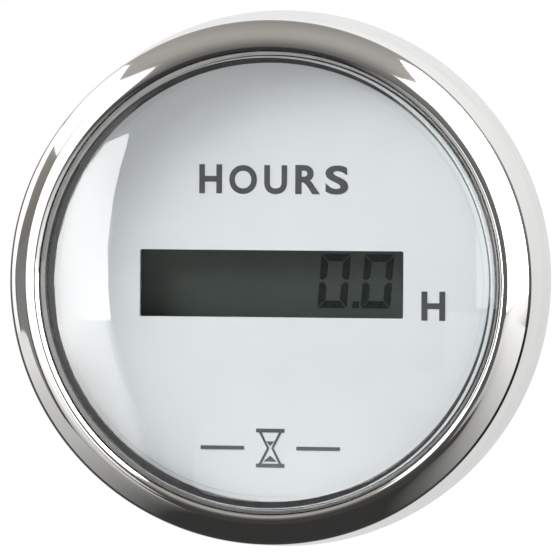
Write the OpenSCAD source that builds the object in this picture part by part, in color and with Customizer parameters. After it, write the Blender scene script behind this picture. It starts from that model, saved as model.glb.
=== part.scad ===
// Panel hour meter, 52 mm.
// A round dial with a liquid crystal counter behind a domed lens, held in a
// rolled steel bezel, and clamped in a panel hole by a ring nut from behind.
// The front looks along -Y and +Z is up. The origin lies on the axis of the
// meter, in the plane where the gasket meets the panel.

/* [Panel] */
// Diameter of the panel hole that the case passes through
panel_hole_d = 52; // [51:0.5:54]
// Gap between the case and the edge of the hole, on the radius
hole_gap = 0.2; // [0.1:0.05:0.3]
// Thickness of the gasket between bezel and panel
gasket_t = 1.5; // [1:0.1:2.5]

/* [Bezel] */
// Outer diameter of the bezel at its front edge
bezel_d = 62; // [61:0.5:66]
// Height of the side wall from the panel gasket to the front edge
bezel_h = 14; // [12:0.5:18]
// How much further out the side wall stands at the panel, on the radius
bezel_flare = 1.4; // [0.6:0.1:1.8]
// Thickness of the rolled steel
bezel_t = 0.8; // [0.6:0.05:1]
// Width of the crowned band at the front
band_w = 3.2; // [2.8:0.1:3.6]
// Radius of the crown of the band
crown_r = 4.6; // [4:0.1:6]
// Radius of the outer edge of the band
edge_r = 1.1; // [1:0.05:1.4]
// Radius of the lip that curls down from the crown
lip_round = 0.6; // [0.4:0.05:0.8]
// Drop from the lip to the lens flange
lip_drop = 1.3; // [1:0.1:1.8]
// Width of the edge rolled under the case flange
fold_w = 3; // [2.4:0.1:3.2]

/* [Lens and dial] */
// Rise of the dome above its side
dome_rise = 1.6; // [1:0.1:3]
// Height of the dome's side above the flange
dome_side = 0.8; // [0.7:0.1:1]
// Gap between the dome's side and the bezel lip
dome_gap = 0.5; // [0.3:0.1:0.8]
// Radius between the dome and its side
dome_round = 0.7; // [0.3:0.1:0.8]
// Thickness of the lens wall
lens_t = 2.2; // [1.6:0.1:2.6]
// Thickness of the lens flange
lens_flange_t = 1.6; // [1.2:0.1:2.2]
// How far the seal shows inside the bezel lip
seal_reveal = 1.4; // [1:0.1:1.8]
// Width of the rubber seal
seal_w = 0.9; // [0.6:0.1:1]
// Height of the rubber seal
seal_h = 1.4; // [1:0.1:2]
// Thickness of the dial plate
dial_t = 0.8; // [0.5:0.1:1.2]
// Width of the counter window
window_w = 31.3; // [28:0.1:32]
// Height of the counter window
window_h = 7.95; // [6.5:0.05:8.5]
// Radius of the window corners
window_r = 0.2; // [0.1:0.1:1]
// How far the window sits below the middle of the dial
window_drop = 0.2; // [0:0.1:0.6]

/* [Counter] */
// Width of the liquid crystal cell
lcd_w = 37; // [35:0.5:38]
// Height of the liquid crystal cell
lcd_h = 14; // [13:0.25:14.5]
// Thickness of the liquid crystal cell
lcd_t = 2.8; // [2:0.1:3.2]
// Height of the carrier between board and dial
carrier_h = 8.2; // [7.5:0.1:10]
// Wall of the carrier
carrier_wall = 1.2; // [0.9:0.1:1.4]
// Thickness of the rubber contact strips
strip_t = 2; // [1.5:0.1:2.2]
// How much shorter than the cell the light guide is at each end
guide_inset = 4.5; // [4:0.1:5]

/* [Boards] */
// Thickness of both circuit boards
board_t = 1.6; // [1:0.2:2]
// Width of the power board
power_w = 40; // [38:0.5:41]
// Height of the power board
power_h = 21; // [20.4:0.2:21.6]
// Length of the bosses under the power board
boss_h = 6; // [5:0.5:9]
// Diameter of the screw shanks
screw_d = 2.4; // [2:0.1:2.6]
// Diameter of the screw heads
screw_head_d = 4.6; // [4.2:0.1:4.8]
// Length of the screw shanks
screw_l = 7; // [5:0.5:9]

/* [Parts on the boards] */
// Side of the controller chip
chip_w = 10; // [8:0.5:11]
// Width of the memory chip
memory_w = 5; // [4:0.1:6]
// Height of the memory chip
memory_h = 4; // [3:0.1:5]
// Thickness of both chips
chip_t = 1.6; // [1:0.1:2]
// Distance of the crystal and the memory chip from the middle
side_x = 11; // [10.5:0.1:11.5]
// Length of the crystal can
crystal_l = 11; // [10:0.1:12]
// Width of the crystal can
crystal_w = 5; // [4:0.1:5.2]
// Height of the crystal can
crystal_h = 3.6; // [3:0.1:4]
// Width of a backlight lamp
led_w = 1.6; // [1.2:0.1:1.8]
// Length of a backlight lamp
led_l = 3; // [2:0.1:3.4]
// Height of a backlight lamp
led_h = 1.4; // [1:0.1:1.8]
// Spacing of the two lamps at each end of the light guide
led_gap = 4; // [3.6:0.1:4.4]
// Spacing of the link pins
pin_pitch = 2.54; // [2:0.01:2.6]
// Side of a link pin
pin_a = 0.64; // [0.5:0.02:0.7]
// Height of the strip round the link pins
header_h = 8.5; // [6:0.5:10]
// Thickness of the strip round the link pins
header_t = 2.5; // [2:0.1:2.6]
// Diameter of the capacitor
cap_d = 6.3; // [5:0.1:6.5]
// Length of the capacitor
cap_l = 11; // [7:0.5:12]
// Width of the regulator
reg_w = 6.5; // [6:0.1:7]
// Height of the regulator
reg_h = 3.5; // [3:0.1:4]
// Thickness of the regulator
reg_t = 1.7; // [1.4:0.1:2]
// Width of the diode
diode_w = 4.6; // [4:0.1:5]
// Height of the diode
diode_h = 2.6; // [2:0.1:3]
// Thickness of the diode
diode_t = 2.3; // [1.8:0.1:2.6]

/* [Case] */
// Depth of the case behind the panel face
case_depth = 30; // [28:0.5:40]
// Wall of the case under the thread
wall_t = 2; // [1.6:0.1:2.2]
// Thickness of the rear wall
rear_t = 2.5; // [2:0.1:3.5]
// Thickness of the shelf that carries the dial
shelf_t = 2; // [1.6:0.1:3]
// Wall of the skirt inside the bezel
skirt_t = 2; // [1.6:0.1:2.2]
// Thickness of the foot that the bezel is folded under
foot_t = 2; // [1.5:0.1:3]
// Number of ribs between barrel and skirt
rib_count = 8; // [4:1:12]
// Length of the plain band that centres the case in the panel
guide_l = 4; // [3:0.5:5]
// Depth of the thread on the case
thread_h = 0.5; // [0.4:0.05:0.6]
// Diameter of the posts under the display board
post_d = 6; // [5.4:0.1:6.2]

/* [Terminals] */
// Width of a blade
blade_w = 6.3; // [4.8:0.1:6.6]
// Thickness of a blade
blade_t = 0.8; // [0.5:0.1:1]
// Length of a blade behind the case
blade_l = 9; // [7:0.5:12]
// Spacing of the blades
blade_pitch = 9; // [8.5:0.1:9.5]
// Diameter of the latch hole in a blade
latch_d = 1.6; // [1.2:0.1:2]
// Distance of the latch hole from the tip of the blade
latch_at = 3.6; // [3:0.1:4.5]
// Width and height of the shoulder that stops a blade at the rear wall
shoulder_w = 2; // [1.5:0.1:2.5]
// Height of the barriers between the blades
barrier_h = 5; // [3:0.5:7]
// Thickness of the barriers between the blades
barrier_t = 1.2; // [1:0.1:1.6]
// How far the barriers reach past the blades at each side
barrier_over = 2; // [1:0.1:3]

/* [Clamp] */
// How far the washer and the nut flange stand out past the nut wall
clamp_w = 1.6; // [1:0.1:2.4]
// Distance from the panel face to the washer
clamp_gap = 8; // [6:0.5:10]
// Thickness of the washer
washer_t = 1.2; // [0.8:0.1:2]
// Thickness of the nut flange
nut_flange_t = 2.4; // [1.8:0.1:3.5]
// Length of the nut
nut_l = 10; // [8:0.5:12]
// Wall of the nut outside its bore
nut_wall = 2.4; // [2:0.1:2.6]
// Gap between the nut and the thread crest, on the radius
nut_gap = 0.2; // [0.15:0.05:0.4]
// Number of grip ribs round the nut
nut_ribs = 18; // [12:2:24]
// Width of the two lugs on the nut flange
lug_w = 6; // [4:0.5:8]
// Height of the two lugs on the nut flange
lug_h = 1.2; // [0.6:0.1:1.5]
// Direction of the first lug, in degrees from the right
lug_angle = -22; // [-60:1:60]

/* [Hidden] */
$fn = 96;
eps = 0.01;
fit = 0.1;
// how far a round stands proud, so that it meets its neighbours in a clean edge
blend = 0.002;

// radii
bezel_r = bezel_d / 2;
seat_r = bezel_r + bezel_flare;
crown_in = bezel_r - band_w;
lip_r = crown_in - lip_round;
inner_r = bezel_r - bezel_t - fit;
dome_r = lip_r - dome_gap;
seal_in = lip_r - seal_reveal;
dial_r = seal_in + seal_w;
rim_in = dial_r + fit;
skirt_in = inner_r - skirt_t;
barrel_r = panel_hole_d / 2 - hole_gap;
root_r = barrel_r - thread_h;
bore_r = root_r - wall_t;
inside_r = bore_r - 0.4;
clamp_in = barrel_r + nut_gap;
hub_r = clamp_in + nut_wall;
clamp_r = hub_r + clamp_w;

// the crown and the edge arc meet at this angle from the axis
crown_a = asin((band_w - edge_r) / (crown_r - edge_r));
crown_h = crown_r - (crown_r - edge_r) * cos(crown_a);

// levels toward the viewer, from the panel face
z_fold = gasket_t;
z_foot = z_fold + bezel_t;
z_edge = z_fold + bezel_h;
z_top = z_edge + crown_h;
z_lip = z_top - lip_drop;
z_lens = z_lip - lens_flange_t;
z_seal = z_lens - seal_h;
z_dial = z_seal - dial_t;
z_shelf = z_dial - shelf_t;
z_carrier = z_dial - fit;
z_board = z_carrier - carrier_h;
z_post = z_board - board_t;
z_lcd = z_carrier - carrier_wall;
z_cell = z_lcd - lcd_t;
z_floor = rear_t - case_depth;
z_power = z_floor + boss_h;
z_parts = z_power + board_t;
z_nut = -clamp_gap - washer_t;

// foot that stays clear of the flared wall
foot_r = seat_r - bezel_t - fit - bezel_flare * foot_t / (z_edge - z_foot);

// lens flange that stays clear of the crown
flange_r = min(inner_r, crown_in + sqrt(pow(crown_r - bezel_t, 2) - pow(crown_r - lip_drop + fit, 2)));

// lens sphere
dome_s = (dome_r * dome_r + dome_rise * dome_rise) / (2 * dome_rise);
dome_z = z_lip + dome_side + dome_rise - dome_s;
land_in = seal_in - 0.6;

// the dome and its rounded shoulder meet at this angle from the axis
shoulder_a = asin((dome_r - dome_round) / (dome_s - dome_round));
shoulder_z = dome_z + (dome_s - dome_round) * cos(shoulder_a);
shoulder_x = dome_r - dome_round + dome_round * sin(shoulder_a);

// places
post_r = bore_r - post_d / 2 + 0.3;
post_angles = [45, 135, 225, 315];
boss_x = power_w / 2 - 3.5;
head_h = 1.8;
pin_x = [for (i = [0:3]) (i - 1.5) * pin_pitch];
pin_y = lcd_h / 2 + fit + carrier_wall + 0.8;
tail_w = 2.5;
well_w = lcd_w + 2 * fit;
well_h = lcd_h + 2 * fit;
guide_w = lcd_w - 2 * guide_inset;
guide_h = lcd_h - 2 * strip_t - 2.4;

// turns a piece drawn toward the viewer into the frame of the part
module facing() {
  rotate([90, 0, 0]) children();
}

module rounded(w, h, r) {
  square([w - 2 * r, h], center = true);
  square([w, h - 2 * r], center = true);
  for (x = [-1, 1], y = [-1, 1])
    translate([x * (w / 2 - r), y * (h / 2 - r)]) circle(r);
}

module block(w, h, t) {
  translate([-w / 2, -h / 2, 0]) cube([w, h, t]);
}

module ring(r_out, r_in, t) {
  difference() {
    cylinder(r = r_out, h = t);
    translate([0, 0, -1]) cylinder(r = r_in, h = t + 2);
  }
}

module at_posts(z) {
  for (a = post_angles) rotate(a) translate([post_r, 0, z]) children();
}

module at_bosses(z) {
  for (s = [-1, 1]) translate([s * boss_x, 0, z]) children();
}

module at_pins(z) {
  for (x = pin_x) translate([x, pin_y, z]) children();
}

module at_blades(z) {
  for (i = [-1, 0, 1]) translate([i * blade_pitch, 0, z]) children();
}

// strip of steel bent round a centre, between two angles from the axis
module bent(r, a0, a1) {
  far = 2 * r;
  intersection() {
    difference() {
      circle(r);
      circle(r - bezel_t);
    }
    polygon([
      [0, 0],
      [far * sin(a0), far * cos(a0)],
      [far * sin((a0 + a1) / 2), far * cos((a0 + a1) / 2)],
      [far * sin(a1), far * cos(a1)]
    ]);
  }
}

// one strip of steel: fold, flared wall, edge, crowned band and lip
module bezel() {
  color("#d9dbdd") facing() rotate_extrude() {
    translate([seat_r - fold_w, z_fold]) square([fold_w - bezel_t, bezel_t]);
    intersection() {
      translate([seat_r - bezel_t, z_foot]) circle(bezel_t);
      translate([seat_r - bezel_t, z_fold]) square(bezel_t);
    }
    polygon([
      [seat_r - bezel_t, z_foot],
      [seat_r, z_foot],
      [bezel_r, z_edge],
      [bezel_r - bezel_t, z_edge]
    ]);
    translate([bezel_r - edge_r, z_edge]) bent(edge_r, crown_a, 90);
    translate([crown_in, z_top - crown_r]) bent(crown_r, 0, crown_a);
    intersection() {
      translate([crown_in, z_top - lip_round]) circle(lip_round);
      translate([lip_r, z_top - lip_round]) square(lip_round);
    }
    translate([lip_r, z_lip]) square([bezel_t, lip_drop - lip_round]);
  }
}

// corner of the dome outside its round shoulder
module shoulder_cut() {
  difference() {
    translate([shoulder_x, shoulder_z]) square(dome_round + 1);
    translate([dome_r - dome_round, shoulder_z]) circle(dome_round + blend);
  }
}

// dome with a round shoulder on a flat flange, hollow inside the land that meets the seal
module lens() {
  tall = lens_flange_t + dome_side + dome_rise + 1;
  color("#dfeaf0", 0.35) facing() rotate_extrude() {
    difference() {
      union() {
        difference() {
          intersection() {
            translate([0, dome_z]) circle(dome_s);
            translate([0, z_lens]) square([dome_r, tall]);
          }
          shoulder_cut();
        }
        translate([dome_r - 1, z_lens]) square([flange_r - dome_r + 1, lens_flange_t]);
      }
      intersection() {
        translate([0, dome_z]) circle(dome_s - lens_t);
        translate([0, z_lens - 1]) square([land_in, tall]);
      }
    }
  }
}

module lens_seal() {
  color("#2b2c2e") facing() translate([0, 0, z_seal]) ring(dial_r, seal_in, seal_h);
}

module dial() {
  color("#eef0f1") facing() translate([0, 0, z_dial])
    linear_extrude(dial_t) difference() {
      circle(dial_r);
      translate([0, -window_drop]) rounded(window_w, window_h, window_r);
    }
}

// light box that stands on the board, with a well for the cell
module display_carrier() {
  color("#f4f4f0") facing() difference() {
    union() {
      translate([0, 0, z_lcd]) cylinder(r = inside_r, h = carrier_wall);
      translate([0, 0, z_board]) ring(inside_r, inside_r - carrier_wall, carrier_h);
      intersection() {
        translate([0, 0, z_board])
          block(well_w + 2 * carrier_wall, well_h + 2 * carrier_wall, carrier_h);
        translate([0, 0, z_board]) cylinder(r = inside_r, h = carrier_h);
      }
    }
    translate([0, 0, z_board - 1]) block(well_w, well_h, carrier_h - carrier_wall + 1);
    translate([0, -window_drop, z_lcd - 1])
      block(window_w + 1.6, window_h + 1.6, carrier_wall + 2);
    at_posts(z_board - 1) cylinder(d = screw_head_d + 1, h = head_h + 2);
  }
}

module lcd_cell() {
  color("#5c6661") facing() translate([0, 0, z_cell]) block(lcd_w, lcd_h, lcd_t);
}

module light_guide() {
  color("#e8f2f2", 0.6) facing() translate([0, 0, z_board])
    block(guide_w, guide_h, z_cell - z_board);
}

module contact_strips() {
  color("#8a6a72") facing()
    for (s = [-1, 1])
      translate([0, s * (lcd_h / 2 - strip_t / 2 - 0.4), z_board])
        block(lcd_w - 3, strip_t, z_cell - z_board);
}

module display_board() {
  color("#1f6b3a") facing() difference() {
    translate([0, 0, z_post]) cylinder(r = inside_r, h = board_t);
    at_posts(z_post - 1) cylinder(d = screw_d + 0.5, h = board_t + 2);
    at_pins(z_post - 1) cylinder(d = 1, h = board_t + 2);
  }
}

module backlight_leds() {
  color("#fbf3c8") facing()
    for (s = [-1, 1], t = [-1, 1])
      translate([s * (guide_w / 2 + led_w / 2 + 0.4), t * led_gap / 2, z_board])
        block(led_w, led_l, led_h);
}

module controller_chip() {
  color("#202124") facing() translate([0, 0, z_post - chip_t]) block(chip_w, chip_w, chip_t);
}

module memory_chip() {
  color("#26272a") facing() translate([-side_x, memory_h / 2, z_post - chip_t])
    block(memory_w, memory_h, chip_t);
}

module crystal() {
  color("#c8cacc") facing() translate([side_x, -crystal_w * 0.4, z_post - crystal_h])
    linear_extrude(crystal_h) rounded(crystal_w, crystal_l, crystal_w * 0.46);
}

module link_pins() {
  color("#c9a54a") facing() at_pins(z_power - 1)
    block(pin_a, pin_a, z_board - z_power + 2.2);
}

module link_strip() {
  color("#18191b") facing() difference() {
    translate([0, pin_y, z_parts]) block(4 * pin_pitch, header_t, header_h);
    at_pins(z_parts - 1) block(pin_a + 0.04, pin_a + 0.04, header_h + 2);
  }
}

module power_board() {
  color("#23703d") facing() difference() {
    translate([0, 0, z_power]) block(power_w, power_h, board_t);
    at_bosses(z_power - 1) cylinder(d = screw_d + 0.5, h = board_t + 2);
    at_pins(z_power - 1) cylinder(d = 1, h = board_t + 2);
    at_blades(z_power - 1) block(blade_t + 0.2, tail_w + 0.2, board_t + 2);
  }
}

module capacitor() {
  color("#2c3e66") facing() translate([blade_pitch / 2, -cap_d * 0.95, z_parts])
    cylinder(d = cap_d, h = cap_l);
}

module regulator() {
  color("#232427") facing() translate([-blade_pitch / 2, reg_h * 1.25, z_parts])
    block(reg_w, reg_h, reg_t);
}

module diode() {
  color("#2a2b2e") facing() translate([blade_pitch / 2, reg_h * 1.25, z_parts])
    block(diode_w, diode_h, diode_t);
}

// blade, shoulder on the rear wall, and solder tail through the power board
module terminal(i) {
  color("#d3c9a2") facing() translate([i * blade_pitch, 0, 0]) {
    difference() {
      translate([0, 0, -case_depth - blade_l]) block(blade_t, blade_w, blade_l + rear_t);
      translate([-blade_t, 0, -case_depth - blade_l + latch_at]) rotate([0, 90, 0])
        cylinder(d = latch_d, h = 2 * blade_t);
    }
    translate([0, 0, z_floor]) block(blade_t, blade_w + shoulder_w, shoulder_w);
    translate([0, 0, z_floor]) block(blade_t, tail_w, boss_h + board_t + 1.2);
  }
}

module terminal_plus() {
  terminal(-1);
}

module terminal_minus() {
  terminal(1);
}

module terminal_lamp() {
  terminal(0);
}

module screw() {
  cylinder(d = screw_head_d, h = head_h);
  translate([0, 0, -screw_l]) cylinder(d = screw_d, h = screw_l);
}

module board_screws() {
  color("#b9bcc0") facing() {
    at_posts(z_board) screw();
    at_bosses(z_parts) screw();
  }
}

// cup with dial shelf, lens rim, skirt, centring band and thread root
module case() {
  chamfer = 0.8;
  color("#eceae4") facing() difference() {
    union() {
      rotate_extrude() polygon([
        [0, -case_depth],
        [root_r - chamfer, -case_depth],
        [root_r, -case_depth + chamfer],
        [root_r, -guide_l],
        [barrel_r, -guide_l],
        [barrel_r, 0],
        [root_r, 0],
        [root_r, z_shelf],
        [skirt_in, z_shelf],
        [skirt_in, z_foot],
        [foot_r, z_foot],
        [foot_r, z_foot + foot_t],
        [inner_r, z_foot + foot_t],
        [inner_r, z_lens],
        [rim_in, z_lens],
        [rim_in, z_dial],
        [bore_r, z_dial],
        [bore_r, z_floor],
        [0, z_floor]
      ]);
      for (i = [0:rib_count - 1]) rotate((i + 0.5) * 360 / rib_count)
        translate([root_r - 0.5, -0.6, z_foot + 1])
          cube([skirt_in - root_r + 1, 1.2, z_shelf - z_foot - 0.5]);
      at_posts(z_floor - eps) cylinder(d = post_d, h = z_post - z_floor + eps);
      at_bosses(z_floor - eps) cylinder(d = post_d - 0.4, h = boss_h + eps);
      for (s = [-1, 1])
        translate([s * blade_pitch / 2, 0, -case_depth - barrier_h])
          block(barrier_t, blade_w + 2 * barrier_over, barrier_h + eps);
    }
    at_posts(z_post - screw_l) cylinder(d = screw_d + fit, h = screw_l + 1);
    at_bosses(z_power - screw_l + board_t - 0.4) cylinder(d = screw_d + fit, h = screw_l + 1);
    at_blades(-case_depth - 1) block(blade_t + fit, blade_w + fit, rear_t + 2);
  }
}

module panel_gasket() {
  color("#1d1e20") facing() ring(seat_r - bezel_t, skirt_in + 0.3, gasket_t);
}

module clamp_washer() {
  color("#f0efe9") facing() translate([0, 0, z_nut]) ring(clamp_r, clamp_in, washer_t);
}

// flanged ring nut with grip ribs and two lugs
module clamp_nut() {
  color("#efeee8") facing() translate([0, 0, z_nut]) difference() {
    union() {
      translate([0, 0, -nut_l]) cylinder(r = hub_r, h = nut_l);
      translate([0, 0, -nut_flange_t]) cylinder(r = clamp_r, h = nut_flange_t);
      for (a = [0, 180]) rotate(lug_angle + a)
        translate([clamp_r - 3, -lug_w / 2, -nut_flange_t]) cube([3 + lug_h, lug_w, nut_flange_t]);
      for (i = [0:nut_ribs - 1]) rotate(lug_angle + i * 360 / nut_ribs)
        translate([hub_r - 1, -1, -nut_l]) cube([1.8, 2, nut_l - 1]);
    }
    translate([0, 0, -nut_l - 1]) cylinder(r = clamp_in, h = nut_l + 2);
  }
}

bezel();
lens();
lens_seal();
dial();
display_carrier();
lcd_cell();
light_guide();
contact_strips();
display_board();
backlight_leds();
controller_chip();
memory_chip();
crystal();
link_pins();
link_strip();
power_board();
capacitor();
regulator();
diode();
terminal_plus();
terminal_minus();
terminal_lamp();
board_screws();
case();
panel_gasket();
clamp_washer();
clamp_nut();
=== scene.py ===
"""Round panel hour meter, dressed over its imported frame.

The solids give every size and place. This script models the visible pieces
again with fine edges, adds print, counter segments and screw thread, finishes
every piece, and sets a small studio with the camera in front of the dial.
Levels are in millimetres toward the viewer, from the face of the panel.
"""

import logging
import math
from dataclasses import dataclass
from enum import Enum

import bpy
from mathutils import Matrix, Quaternion, Vector


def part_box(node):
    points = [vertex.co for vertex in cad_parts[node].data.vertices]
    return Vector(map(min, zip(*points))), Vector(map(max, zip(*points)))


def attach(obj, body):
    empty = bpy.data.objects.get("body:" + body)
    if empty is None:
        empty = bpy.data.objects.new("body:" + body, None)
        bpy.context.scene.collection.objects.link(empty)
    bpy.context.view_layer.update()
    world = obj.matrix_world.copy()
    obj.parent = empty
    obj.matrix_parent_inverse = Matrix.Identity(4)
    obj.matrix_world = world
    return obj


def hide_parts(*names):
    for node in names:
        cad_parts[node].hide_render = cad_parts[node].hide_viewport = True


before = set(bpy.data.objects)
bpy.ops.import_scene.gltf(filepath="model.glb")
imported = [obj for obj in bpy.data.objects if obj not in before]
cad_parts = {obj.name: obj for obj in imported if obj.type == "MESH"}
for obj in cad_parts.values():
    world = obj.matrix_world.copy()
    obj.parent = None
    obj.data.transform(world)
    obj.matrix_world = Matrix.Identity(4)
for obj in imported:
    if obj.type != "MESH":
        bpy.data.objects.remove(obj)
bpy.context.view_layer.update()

logging.basicConfig(level=logging.INFO, format="%(message)s")
LOG = logging.getLogger("hour_meter")

MM = 0.001
MERGE_AT = 2e-7
DRAW_MERGE_AT = 1e-8
SHARP_AT = 30.0
THREAD_SHARP_AT = 40.0
NOISE_SPAN = (0.3, 0.7)
FINE_STEPS = 256
DIAL_STEPS = 192
NUT_STEPS = 180
RING_STEPS = 160
FLOOR_STEPS = 96

Point = tuple[float, float]
Tone = tuple[float, float, float]
Link = tuple[bpy.types.Node, str | int, bpy.types.Node, str | int]


class Body(Enum):
    """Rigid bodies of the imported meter."""

    METER = "meter"
    WASHER = "washer"
    NUT = "nut"


class Axis(Enum):
    """Direction in which a card's brightness changes."""

    X = (1.0, 0.0, 0.0)
    Z = (0.0, 0.0, 1.0)
    LOW_LEFT = (-0.961, 0.0, -0.277)


Fade = tuple[Axis, list[Point]]


# Modelling


def clear_selection() -> None:
    """Leaves edit mode and selects nothing."""
    active = bpy.context.view_layer.objects.active
    if active is not None and active.mode != "OBJECT":
        bpy.ops.object.mode_set(mode="OBJECT")
    bpy.ops.object.select_all(action="DESELECT")


def select_only(*pieces: bpy.types.Object) -> None:
    """Selects objects and makes the first one active.

    Args:
        pieces: the objects.
    """
    clear_selection()
    for piece in pieces:
        piece.select_set(True)
    bpy.context.view_layer.objects.active = pieces[0]


def arc(centre: Point, radius: float, start: float, end: float, count: int) -> list[Point]:
    """Points on an arc of a profile.

    Args:
        centre: radius and level of the arc's centre, in mm.
        radius: radius of the arc, in mm.
        start: first angle in degrees, from the axis outwards.
        end: last angle in degrees.
        count: number of steps.

    Returns:
        The points in order, as radius and level in mm.
    """
    turns = [math.radians(start + (end - start) * i / count) for i in range(count + 1)]
    return [(centre[0] + radius * math.sin(a), centre[1] + radius * math.cos(a)) for a in turns]


def draw(name: str, path: list[Vector], closed: bool) -> bpy.types.Object:
    """Draws a chain of edges by extruding one point along a path.

    Args:
        name: name of the new object.
        path: points in metres.
        closed: joins the last point to the first.

    Returns:
        The new object, in edit mode with the chain selected.
    """
    clear_selection()
    bpy.ops.mesh.primitive_plane_add(size=MM)
    piece = bpy.context.object
    piece.name = name
    piece.data.name = name
    bpy.ops.object.mode_set(mode="EDIT")
    bpy.ops.mesh.select_mode(type="VERT")
    bpy.ops.mesh.select_all(action="SELECT")
    bpy.ops.mesh.merge(type="CENTER")
    bpy.ops.transform.translate(value=path[0])
    stops = path[1:] + (path[:1] if closed else [])
    here = path[0]
    for there in stops:
        bpy.ops.mesh.extrude_region_move(TRANSFORM_OT_translate={"value": there - here})
        here = there
    bpy.ops.mesh.select_all(action="SELECT")
    bpy.ops.mesh.remove_doubles(threshold=DRAW_MERGE_AT)
    bpy.ops.mesh.select_all(action="SELECT")
    return piece


def close_mesh() -> None:
    """Merges doubles, points faces outwards and leaves edit mode."""
    bpy.ops.mesh.select_all(action="SELECT")
    bpy.ops.mesh.remove_doubles(threshold=MERGE_AT)
    bpy.ops.mesh.select_all(action="SELECT")
    bpy.ops.mesh.normals_make_consistent(inside=False)
    bpy.ops.object.mode_set(mode="OBJECT")


def smooth(piece: bpy.types.Object, degrees: float = SHARP_AT) -> None:
    """Shades a piece smooth except over sharp edges."""
    select_only(piece)
    bpy.ops.object.shade_smooth_by_angle(angle=math.radians(degrees))


def lathe(name: str, profile: list[Point], steps: int, closed: bool = True) -> bpy.types.Object:
    """Turns a profile round the axis of the meter.

    Args:
        name: name of the new piece.
        profile: points as radius and level, in mm.
        steps: faces round the axis.
        closed: the profile is a closed section; otherwise it runs from axis to axis.

    Returns:
        The turned piece.
    """
    path = [Vector((r * MM, -level * MM, 0.0)) for r, level in profile]
    piece = draw(name, path, closed)
    bpy.ops.mesh.spin(steps=steps, angle=math.tau, center=(0, 0, 0), axis=(0, 1, 0))
    close_mesh()
    smooth(piece)
    return piece


def plate(name: str, outline: list[Point], level: float, thick: float) -> bpy.types.Object:
    """Cuts a flat plate that faces the viewer.

    Args:
        name: name of the new piece.
        outline: corners as x and height, in mm.
        level: level of the plate's back, in mm.
        thick: thickness toward the viewer, in mm.

    Returns:
        The plate.
    """
    path = [Vector((x * MM, -level * MM, z * MM)) for x, z in outline]
    piece = draw(name, path, closed=True)
    bpy.ops.mesh.edge_face_add()
    bpy.ops.mesh.extrude_region_move(TRANSFORM_OT_translate={"value": (0, -thick * MM, 0)})
    close_mesh()
    return piece


def bar(name: str, low: Vector, high: Vector, edge: float) -> bpy.types.Object:
    """Makes a bar with rounded edges.

    Args:
        name: name of the new piece.
        low: lowest corner, in mm.
        high: highest corner, in mm.
        edge: radius of the edges, in mm.

    Returns:
        The bar.
    """
    clear_selection()
    bpy.ops.mesh.primitive_cube_add(size=1.0, location=(low + high) / 2 * MM)
    piece = bpy.context.object
    piece.name = name
    piece.data.name = name
    bpy.ops.object.mode_set(mode="EDIT")
    bpy.ops.mesh.select_all(action="SELECT")
    bpy.ops.transform.resize(value=(high - low) * MM)
    bpy.ops.mesh.bevel(offset=edge * MM, segments=2, affect="EDGES")
    bpy.ops.object.mode_set(mode="OBJECT")
    select_only(piece)
    bpy.ops.object.transform_apply(location=True, rotation=True, scale=True)
    return piece


def join(name: str, pieces: list[bpy.types.Object]) -> bpy.types.Object:
    """Joins pieces into one object.

    Args:
        name: name of the joined object.
        pieces: the pieces, of which the first one stays.

    Returns:
        The joined object.
    """
    select_only(*pieces)
    if len(pieces) > 1:
        bpy.ops.object.join()
    pieces[0].name = name
    pieces[0].data.name = name
    return pieces[0]


def carve(piece: bpy.types.Object, tool: bpy.types.Object, operation: str) -> None:
    """Applies a boolean with another object, which is then removed.

    Args:
        piece: object to change.
        tool: object that cuts or joins.
        operation: DIFFERENCE or UNION.
    """
    select_only(piece)
    change = piece.modifiers.new("carve", "BOOLEAN")
    change.operation = operation
    change.solver = "EXACT"
    change.object = tool
    bpy.ops.object.modifier_apply(modifier=change.name)
    bpy.data.objects.remove(tool)


def turn_copy(piece: bpy.types.Object, degrees: float) -> bpy.types.Object:
    """Copies a piece, turned round the axis of the meter, with its own mesh.

    Args:
        piece: object to copy.
        degrees: turn of the copy.

    Returns:
        The copy.
    """
    copy = piece.copy()
    copy.data = piece.data.copy()
    bpy.context.scene.collection.objects.link(copy)
    copy.data.transform(Matrix.Rotation(math.radians(degrees), 4, "Y"))
    return copy


def helix(name: str, section: list[Point], pitch: float, turns: float, start: float,
          steps: int = 72) -> bpy.types.Object:
    """Winds a ridge round the axis of the meter, right-handed toward the rear.

    Args:
        name: name of the new piece.
        section: corners of the ridge as radius and distance behind the panel, in mm.
        pitch: travel for each turn, in mm.
        turns: number of turns.
        start: angle of the first section, in degrees.
        steps: faces in each turn.

    Returns:
        The ridge, closed at both ends.
    """
    path = [Vector((r * MM, y * MM, 0.0)) for r, y in section]
    piece = draw(name, path, closed=True)
    bpy.ops.object.mode_set(mode="OBJECT")
    wind = piece.modifiers.new("wind", "SCREW")
    wind.axis = "Y"
    wind.angle = math.tau * turns
    wind.screw_offset = pitch * turns * MM
    wind.steps = round(turns * steps)
    wind.render_steps = wind.steps
    wind.use_merge_vertices = False
    select_only(piece)
    bpy.ops.object.modifier_apply(modifier=wind.name)
    bpy.ops.object.mode_set(mode="EDIT")
    bpy.ops.mesh.select_mode(type="EDGE")
    bpy.ops.mesh.select_all(action="DESELECT")
    bpy.ops.mesh.select_non_manifold(extend=False)
    bpy.ops.mesh.edge_face_add()
    close_mesh()
    piece.data.transform(Matrix.Rotation(math.radians(start), 4, "Y"))
    smooth(piece, THREAD_SHARP_AT)
    return piece


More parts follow.
